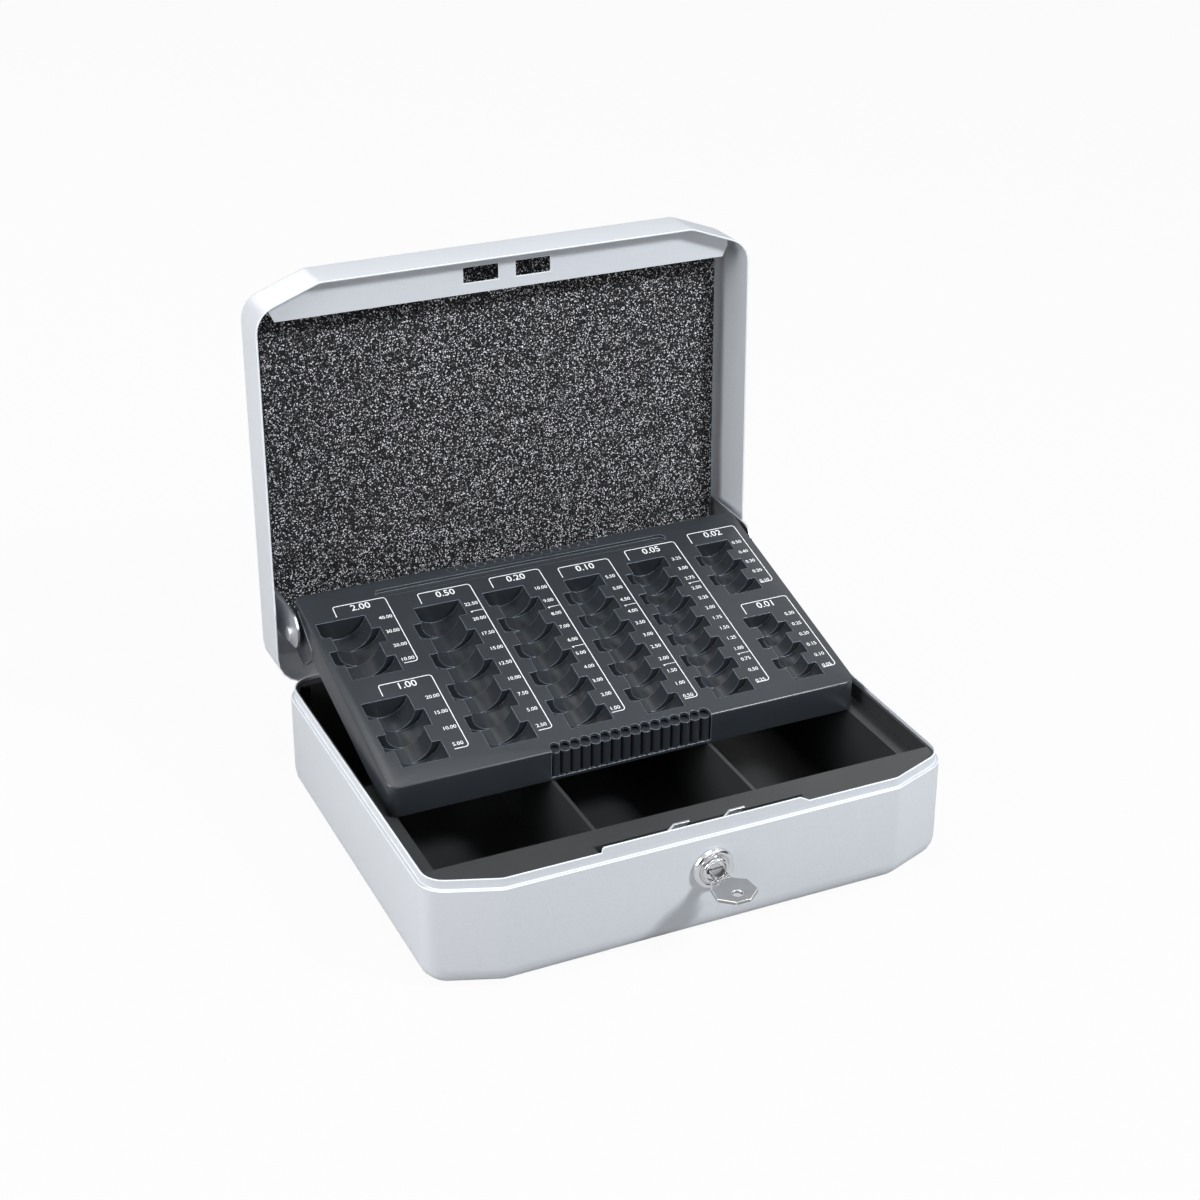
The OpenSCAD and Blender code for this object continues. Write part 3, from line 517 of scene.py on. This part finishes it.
def lettering(bm, words, size, x, y):
    """Adds words as a thin printed mesh, centred on x and y in millimetres."""
    curve = bpy.data.curves.new("type", "FONT")
    curve.body = words
    curve.size = size
    curve.align_x = "CENTER"
    curve.align_y = "CENTER"
    curve.extrude = INK
    curve.offset = size * TYPE_WEIGHT
    curve.resolution_u = 3
    letters = bpy.data.objects.new("type", curve)
    bpy.context.scene.collection.objects.link(letters)
    bpy.context.view_layer.update()
    graph = bpy.context.evaluated_depsgraph_get()
    mesh = bpy.data.meshes.new_from_object(letters.evaluated_get(graph))
    first = len(bm.verts)
    bm.from_mesh(mesh)
    bm.verts.ensure_lookup_table()
    bmesh.ops.translate(bm, verts=bm.verts[first:], vec=(x * MM, y * MM, 0))
    bpy.data.objects.remove(letters)
    bpy.data.meshes.remove(mesh)
    bpy.data.curves.remove(curve)


def finished(bm, name, material, body, degrees=CRISP_ANGLE):
    """Turns a drawn mesh into a piece on a CAD body."""
    bmesh.ops.recalc_face_normals(bm, faces=bm.faces)
    smooth_by_angle(bm, degrees)
    mesh = bpy.data.meshes.new(name)
    bm.to_mesh(mesh)
    bm.free()
    return link_piece(name, mesh, material, body)


# ---------------------------------------------------------------- pieces

class CASHBOX_OT_steel(bpy.types.Operator):
    """Paints and softens the pressed steel base, lid and locking strip"""
    bl_idname = "cashbox.steel"
    bl_label = "Steel shells"

    def execute(self, context):
        edge = context.scene.cash_box_sizes.edge
        # The softened edges of the steel shells get the paler coat as a painted highlight
        dress("base_shell", "painted_steel", "base", edge, edge="paint_edge_highlight", shape=flush_recess)
        dress("lid_shell", "painted_steel", "lid", edge, edge="paint_edge_highlight")
        dress("lid_strip", "painted_steel", "lid", edge, edge="paint_edge_highlight")
        return {"FINISHED"}


class CASHBOX_OT_hinges(bpy.types.Operator):
    """Finishes the two rear hinges and the plates and pins that carry the tray"""
    bl_idname = "cashbox.hinges"
    bl_label = "Hinges and tray plates"

    def execute(self, context):
        for side in ("left", "right"):
            dress("hinge_base_leaf_" + side, "painted_steel", "base", LEAF_EDGE)
            dress("hinge_lid_leaf_" + side, "painted_steel", "lid", LEAF_EDGE)
            dress("tray_ear_" + side, "zinc_steel", "lid", FITTING_EDGE)
        dress("hinge_pins", "zinc_steel", "base", PIN_EDGE)
        dress("tray_pivots", "zinc_steel", "lid", FITTING_EDGE)
        return {"FINISHED"}


class CASHBOX_OT_insert(bpy.types.Operator):
    """Finishes the moulded note insert"""
    bl_idname = "cashbox.insert"
    bl_label = "Note insert"

    def execute(self, context):
        dress("note_insert", "insert_plastic", "base", context.scene.cash_box_sizes.moulded_edge)
        return {"FINISHED"}


class CASHBOX_OT_tray(bpy.types.Operator):
    """Finishes the moulded coin tray"""
    bl_idname = "cashbox.tray"
    bl_label = "Coin tray"

    def execute(self, context):
        dress("coin_tray", "tray_plastic", "tray", context.scene.cash_box_sizes.moulded_edge)
        return {"FINISHED"}


class CASHBOX_OT_scales(bpy.types.Operator):
    """Prints the lines and the amounts beside the coin columns"""
    bl_idname = "cashbox.scales"
    bl_label = "Printed scales"

    def execute(self, context):
        sizes = context.scene.cash_box_sizes
        lines = bmesh.new()
        numbers = bmesh.new()
        for start, groups, thickness, left, right, value in COLUMNS:
            run = GROUP_COINS * thickness + GROUP_ROOM
            top = HEADER_LINE - start
            foot = FOOT_LINE - start - run * groups
            bend = right - RIGHT_CORNER
            path = [(left, LEG_END - start), (left + LEG_LEAN, top - LEG_TOP)]
            path += arc(left + LEFT_CORNER_INSET, top - LEFT_CORNER, LEFT_CORNER, 170, 90)
            path += arc(bend, top - RIGHT_CORNER, RIGHT_CORNER, 90, 0)
            path += arc(bend, foot + RIGHT_CORNER, RIGHT_CORNER, 0, -90)
            path += [(right - FOOT_LENGTH, foot)]
            ribbon(lines, path, sizes.line_width)
            lettering(numbers, "%.2f" % value, sizes.header_height,
                      (left + right) / 2, top - HEADER_DROP)
            for i in range(groups):
                amount = value * GROUP_COINS * (groups - i)
                lettering(numbers, "%.2f" % amount, sizes.number_height,
                          right - AMOUNT_INSET, -start - (i + AMOUNT_SHARE) * run)
            for count in ROLL_MARKS.get(value, ()):
                level = MARK_LIFT - start - (count - MARK_SHARE) * run
                ribbon(lines, [(right - inset, level) for inset in MARK_ENDS],
                       sizes.line_width * MARK_WEIGHT)
                arrow(lines, right - ARROW_INSET, level, ARROW_SIZE)
        to_tray(lines)
        to_tray(numbers)
        finished(lines, "scale_lines", "print_ink", "tray")
        finished(numbers, "scale_numbers", "print_ink", "tray")
        return {"FINISHED"}


class CASHBOX_OT_foam(bpy.types.Operator):
    """Cuts the flecked foam liner of the lid"""
    bl_idname = "cashbox.foam"
    bl_label = "Foam liner"

    def execute(self, context):
        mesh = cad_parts["lid_foam"].data
        bm = bmesh.new()
        bm.from_mesh(mesh)
        whole_faces(bm, FOAM_MERGE)
        rim = [e for e in bm.edges if e.calc_face_angle(0.0) > FOAM_SHARP
               and max(v.co.y for v in e.verts) < FOAM_BACK]
        bmesh.ops.bevel(bm, geom=rim, offset=FOAM_ROUND, segments=3, affect="EDGES",
                        profile=0.5, material=-1)
        bmesh.ops.triangulate(bm, faces=bm.faces)
        for _ in range(FOAM_PASSES):
            long = [e for e in bm.edges if e.calc_length() > FOAM_MESH]
            if not long:
                break
            bmesh.ops.subdivide_edges(bm, edges=long, cuts=1)
            bmesh.ops.triangulate(bm, faces=bm.faces)
        for v in bm.verts:
            if v.co.y < FOAM_BACK:
                v.co.y += FOAM_WAVE * noise.noise(v.co * FOAM_WAVES_PER_METRE)
        liner = finished(bm, "foam_liner", "foam", "lid", FOAM_CRISP)
        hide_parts("lid_foam")
        return {"FINISHED"}


class CASHBOX_OT_lock(bpy.types.Operator):
    """Plates the lock, its bolt work and the key"""
    bl_idname = "cashbox.lock"
    bl_label = "Lock and key"

    def execute(self, context):
        dress("lock_body", "chrome_plate", "base", PLATE_EDGE, angle=20.0, segments=3)
        dress("lock_plug", "chrome_plate", "plug", PLATE_EDGE)
        # The key's softened edges take the paler chrome as a painted highlight
        dress("key", "nickel_brass", "key", KEY_EDGE, edge="chrome_plate")
        for node, body in (("lock_nut", "base"), ("lock_cam", "plug"), ("lock_bolt", "bolt"),
                           ("lock_bracket_left", "base"), ("lock_bracket_right", "base"),
                           ("guide_studs", "base")):
            dress(node, "zinc_steel", body, PLATE_EDGE)
        return {"FINISHED"}


class CASHBOX_OT_handle(bpy.types.Operator):
    """Finishes the folding handle on the outside of the lid"""
    bl_idname = "cashbox.handle"
    bl_label = "Carrying handle"

    def execute(self, context):
        dress("carry_handle", "black_paint", "handle", GRIP_EDGE)
        for side in ("left", "right"):
            dress("handle_bracket_" + side, "zinc_steel", "lid", FITTING_EDGE)
        dress("handle_rivets", "zinc_steel", "lid", PLATE_EDGE)
        return {"FINISHED"}


# ---------------------------------------------------------------- stage

def area_light(name, place, aim, size, power, tone):
    """A round soft light at place, turned to the box's middle at the height aim."""
    data = bpy.data.lights.new(name, "AREA")
    data.shape = "DISK"
    data.size = size
    data.energy = power
    data.color = tone
    lamp = bpy.data.objects.new(name, data)
    lamp.location = place
    lamp.rotation_euler = (Vector((0, 0, aim)) - Vector(place)).to_track_quat("-Z", "Y").to_euler()
    bpy.context.scene.collection.objects.link(lamp)


def white_world():
    """Even light for the surfaces, plain white for the camera and dark bands for shiny metal."""
    world = bpy.data.worlds.new("Studio")
    bpy.context.scene.world = world
    world.use_nodes = True
    tree = world.node_tree
    even = tree.nodes["Background"]
    even.inputs["Color"].default_value = WHITE
    even.inputs["Strength"].default_value = EVEN_LIGHT
    white = tree.nodes.new("ShaderNodeBackground")
    white.inputs["Color"].default_value = WHITE
    height = tree.nodes.new("ShaderNodeSeparateXYZ")
    sky = tree.nodes.new("ShaderNodeTexCoord")
    tree.links.new(sky.outputs["Generated"], height.inputs["Vector"])
    bands = ramp_node(tree, height.outputs["Z"], [(z, (grey,) * 3) for z, grey in STUDIO_BANDS])
    studio = tree.nodes.new("ShaderNodeBackground")
    tree.links.new(bands.outputs["Color"], studio.inputs["Color"])
    rays = tree.nodes.new("ShaderNodeLightPath")
    shiny = tree.nodes.new("ShaderNodeMixShader")
    tree.links.new(rays.outputs["Is Glossy Ray"], shiny.inputs["Fac"])
    tree.links.new(even.outputs["Background"], shiny.inputs[1])
    tree.links.new(studio.outputs["Background"], shiny.inputs[2])
    seen = tree.nodes.new("ShaderNodeMixShader")
    tree.links.new(rays.outputs["Is Camera Ray"], seen.inputs["Fac"])
    tree.links.new(shiny.outputs["Shader"], seen.inputs[1])
    tree.links.new(white.outputs["Background"], seen.inputs[2])
    tree.links.new(seen.outputs["Shader"], tree.nodes["World Output"].inputs["Surface"])


def pale_floor():
    """Pale floor that stays white to the camera and keeps the object's shadow."""
    mat = bpy.data.materials.new("floor_white")
    mat.use_nodes = True
    tree = mat.node_tree
    shader = tree.nodes["Principled BSDF"]
    shader.inputs["Base Color"].default_value = FLOOR_TONE
    shader.inputs["Roughness"].default_value = 0.9
    glow = tree.nodes.new("ShaderNodeEmission")
    glow.inputs["Color"].default_value = WHITE
    rays = tree.nodes.new("ShaderNodeLightPath")
    share = tree.nodes.new("ShaderNodeMath")
    share.operation = "MULTIPLY"
    share.inputs[1].default_value = FLOOR_GLOW
    tree.links.new(rays.outputs["Is Camera Ray"], share.inputs[0])
    mix = tree.nodes.new("ShaderNodeMixShader")
    tree.links.new(share.outputs["Value"], mix.inputs["Fac"])
    tree.links.new(shader.outputs["BSDF"], mix.inputs[1])
    tree.links.new(glow.outputs["Emission"], mix.inputs[2])
    tree.links.new(mix.outputs["Shader"], tree.nodes["Material Output"].inputs["Surface"])
    bm = bmesh.new()
    bmesh.ops.create_grid(bm, x_segments=2, y_segments=2, size=FLOOR_SIZE)
    bmesh.ops.translate(bm, verts=bm.verts, vec=(0, 0, -FLOOR_DROP))
    mesh = bpy.data.meshes.new("floor")
    bm.to_mesh(mesh)
    bm.free()
    mesh.materials.append(mat)
    floor = bpy.data.objects.new("floor", mesh)
    bpy.context.scene.collection.objects.link(floor)


class CASHBOX_OT_stage(bpy.types.Operator):
    """Sets up the floor, the soft lights and the camera"""
    bl_idname = "cashbox.stage"
    bl_label = "Stage"

    def execute(self, context):
        white_world()
        pale_floor()
        for light in LIGHTS:
            area_light(*light)
        data = bpy.data.cameras.new("camera")
        data.sensor_width = 36.0
        data.lens = CAMERA_LENS
        data.shift_y = CAMERA_SHIFT
        data.clip_end = 20.0
        camera = bpy.data.objects.new("camera", data)
        level = math.cos(CAMERA_DIP)
        ahead = Vector((math.sin(CAMERA_TURN) * level, math.cos(CAMERA_TURN) * level,
                        -math.sin(CAMERA_DIP)))
        right = ahead.cross(Vector((0, 0, 1))).normalized()
        up = right.cross(ahead)
        c, s = math.cos(CAMERA_ROLL), math.sin(CAMERA_ROLL)
        right, up = right * c + up * s, up * c - right * s
        camera.matrix_world = Matrix((
            (right.x, up.x, -ahead.x, CAMERA_PLACE[0]),
            (right.y, up.y, -ahead.y, CAMERA_PLACE[1]),
            (right.z, up.z, -ahead.z, CAMERA_PLACE[2]),
            (0, 0, 0, 1)))
        context.scene.collection.objects.link(camera)
        context.scene.camera = camera
        context.scene.view_settings.view_transform = "Standard"
        return {"FINISHED"}


# ---------------------------------------------------------------- panel and run

STEPS = ("stage", "steel", "hinges", "insert", "tray", "scales", "foam", "lock", "handle")


class CASHBOX_PT_panel(bpy.types.Panel):
    """Lists the pieces of the cash box with their sizes and colours"""
    bl_label = "Cash Box"
    bl_idname = "CASHBOX_PT_panel"
    bl_space_type = "VIEW_3D"
    bl_region_type = "UI"
    bl_category = "Cash Box"

    def draw(self, context):
        column = self.layout.column()
        for group in (context.scene.cash_box_sizes, context.scene.cash_box_finish):
            for field in group.bl_rna.properties.keys():
                if field not in ("rna_type", "name"):
                    column.prop(group, field)
        for step in STEPS:
            column.operator("cashbox." + step)


CLASSES = (
    CashBoxFinish, CashBoxSizes, CASHBOX_OT_stage, CASHBOX_OT_steel, CASHBOX_OT_hinges,
    CASHBOX_OT_insert, CASHBOX_OT_tray, CASHBOX_OT_scales, CASHBOX_OT_foam, CASHBOX_OT_lock,
    CASHBOX_OT_handle, CASHBOX_PT_panel,
)


def register():
    for cls in CLASSES:
        bpy.utils.register_class(cls)
    bpy.types.Scene.cash_box_finish = bpy.props.PointerProperty(type=CashBoxFinish)
    bpy.types.Scene.cash_box_sizes = bpy.props.PointerProperty(type=CashBoxSizes)


def unregister():
    del bpy.types.Scene.cash_box_sizes
    del bpy.types.Scene.cash_box_finish
    for cls in reversed(CLASSES):
        bpy.utils.unregister_class(cls)


def main():
    register()
    for step in STEPS:
        getattr(bpy.ops.cashbox, step)()


if __name__ == "__main__":
    main()
